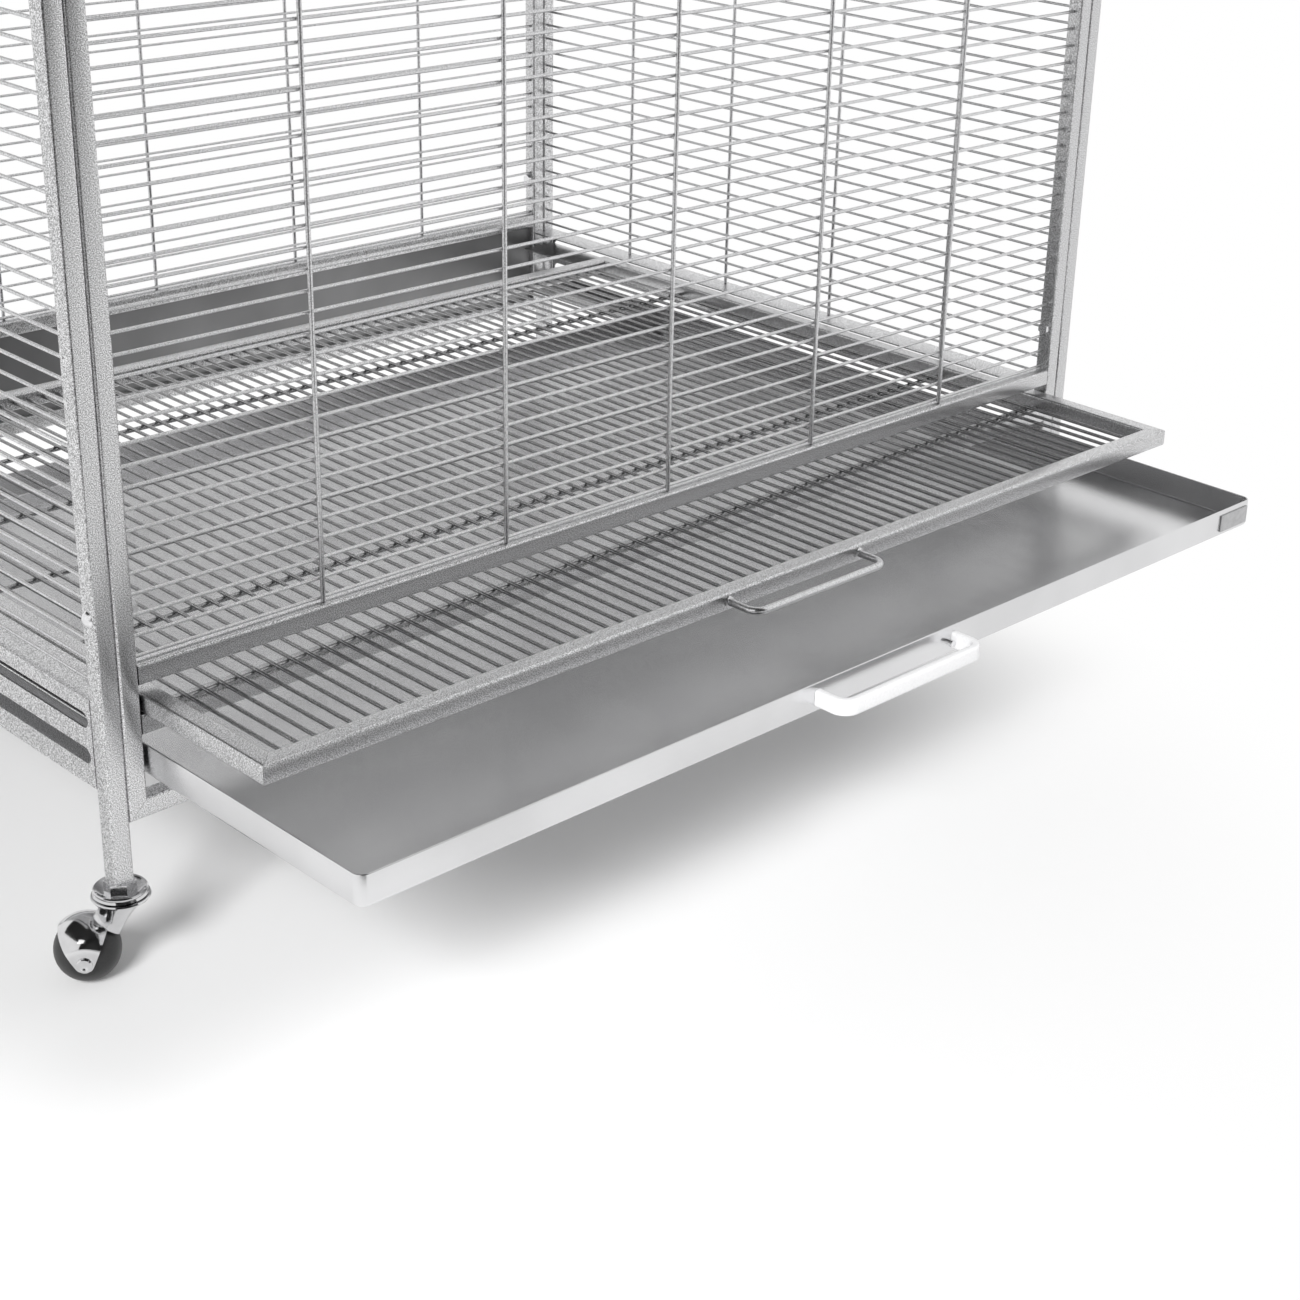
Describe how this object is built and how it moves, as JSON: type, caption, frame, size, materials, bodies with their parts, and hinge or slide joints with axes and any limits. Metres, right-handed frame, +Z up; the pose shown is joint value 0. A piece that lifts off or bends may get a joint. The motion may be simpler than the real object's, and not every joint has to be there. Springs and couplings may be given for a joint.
{
  "type": "flight bird cage",
  "caption": "Tall flight cage for birds: square tube frame with wire mesh, pull-out grate over a pull-out tray, front doors with a turn latch, on swivelling ball casters.",
  "frame": {"origin": "on the floor under the middle of the cage", "axes": "+X to the right, +Y to the back, +Z up; the doors, grate and tray are on the -Y side"},
  "size_m": [0.9512, 0.8944, 1.5268],
  "materials": {
    "frame": "silver hammertone powder coat, fine dark and light speckle",
    "wire": "silver powder coat on wire",
    "tray": "smooth satin silver powder coat",
    "plate": "plain brushed",
    "chrome": "polished",
    "zinc": "zinc plated",
    "handle": "white moulded plastic",
    "wheel": "satin black",
    "insert": "black"
  },
  "bodies": {
    "cage": {"left_side_frame": "frame", "right_side_frame": "frame", "left_side_mesh": "wire", "right_side_mesh": "wire", "left_side_plate": "frame", "right_side_plate": "frame", "left_runners": "frame", "right_runners": "frame", "front_frame": "frame", "front_mesh": "wire", "back_frame": "frame", "back_mesh": "wire", "back_skirt": "frame", "roof_frame": "frame", "roof_mesh": "wire", "frame_bolts": "zinc", "frame_nuts": "zinc", "roof_bolts": "zinc", "hinge_leaves": "zinc", "hinge_pins": "zinc", "caster_inserts": "insert", "caster_stems": "zinc", "caster_nuts": "zinc", "caster_cups": "chrome"},
    "grate": {"grate_frame": "frame", "grate_wires": "wire", "grate_stiffeners": "wire", "grate_handle": "wire"},
    "tray": {"tray_pan": "tray", "tray_handle": "handle", "tray_screws": "zinc", "tray_corner_plate": "plate"},
    "left_door": {"left_door_frame": "frame", "left_door_mesh": "wire", "left_door_leaves": "zinc", "latch_keeper": "zinc"},
    "right_door": {"right_door_frame": "frame", "right_door_mesh": "wire", "right_door_leaves": "zinc", "latch_pivot": "zinc"},
    "latch": {"latch_lever": "zinc"},
    "swivel_fl": {"caster_hood_fl": "chrome", "caster_axle_fl": "chrome"},
    "wheel_fl": {"caster_wheel_fl": "wheel"},
    "swivel_fr": {"caster_hood_fr": "chrome", "caster_axle_fr": "chrome"},
    "wheel_fr": {"caster_wheel_fr": "wheel"},
    "swivel_bl": {"caster_hood_bl": "chrome", "caster_axle_bl": "chrome"},
    "wheel_bl": {"caster_wheel_bl": "wheel"},
    "swivel_br": {"caster_hood_br": "chrome", "caster_axle_br": "chrome"},
    "wheel_br": {"caster_wheel_br": "wheel"}
  },
  "joints": [
    {"name": "grate_slide", "type": "slide", "parent": "cage", "child": "grate", "axis": [0, -1, 0], "range_m": [-0.109, 0.38]},
    {"name": "tray_slide", "type": "slide", "parent": "cage", "child": "tray", "axis": [0, -1, 0], "range_m": [-0.192, 0.3]},
    {"name": "left_door_hinge", "type": "hinge", "parent": "cage", "child": "left_door", "pos_m": [-0.41885, -0.3235, 1.13515], "axis": [0, 0, -1], "range_deg": [0, 170]},
    {"name": "right_door_hinge", "type": "hinge", "parent": "cage", "child": "right_door", "pos_m": [0.41885, -0.3235, 1.13515], "axis": [0, 0, 1], "range_deg": [0, 170]},
    {"name": "latch_turn", "type": "hinge", "parent": "right_door", "child": "latch", "pos_m": [0.0071, -0.32, 1.13515], "axis": [0, -1, 0], "range_deg": [0, 90]},
    {"name": "swivel_fl", "type": "hinge", "parent": "cage", "child": "swivel_fl", "pos_m": [-0.43865, -0.31365, 0.05], "axis": [0, 0, 1], "continuous": true},
    {"name": "roll_fl", "type": "hinge", "parent": "swivel_fl", "child": "wheel_fl", "pos_m": [-0.45582, -0.30071, 0.01975], "axis": [-0.6018, -0.7986, 0], "continuous": true},
    {"name": "swivel_fr", "type": "hinge", "parent": "cage", "child": "swivel_fr", "pos_m": [0.43865, -0.31365, 0.05], "axis": [0, 0, 1], "continuous": true},
    {"name": "roll_fr", "type": "hinge", "parent": "swivel_fr", "child": "wheel_fr", "pos_m": [0.42148, -0.32659, 0.01975], "axis": [0.6018, -0.7986, 0], "continuous": true},
    {"name": "swivel_bl", "type": "hinge", "parent": "cage", "child": "swivel_bl", "pos_m": [-0.43865, 0.31365, 0.05], "axis": [0, 0, 1], "continuous": true},
    {"name": "roll_bl", "type": "hinge", "parent": "swivel_bl", "child": "wheel_bl", "pos_m": [-0.42148, 0.32659, 0.01975], "axis": [-0.6018, 0.7986, 0], "continuous": true},
    {"name": "swivel_br", "type": "hinge", "parent": "cage", "child": "swivel_br", "pos_m": [0.43865, 0.31365, 0.05], "axis": [0, 0, 1], "continuous": true},
    {"name": "roll_br", "type": "hinge", "parent": "swivel_br", "child": "wheel_br", "pos_m": [0.45582, 0.30071, 0.01975], "axis": [0.6018, 0.7986, 0], "continuous": true}
  ]
}
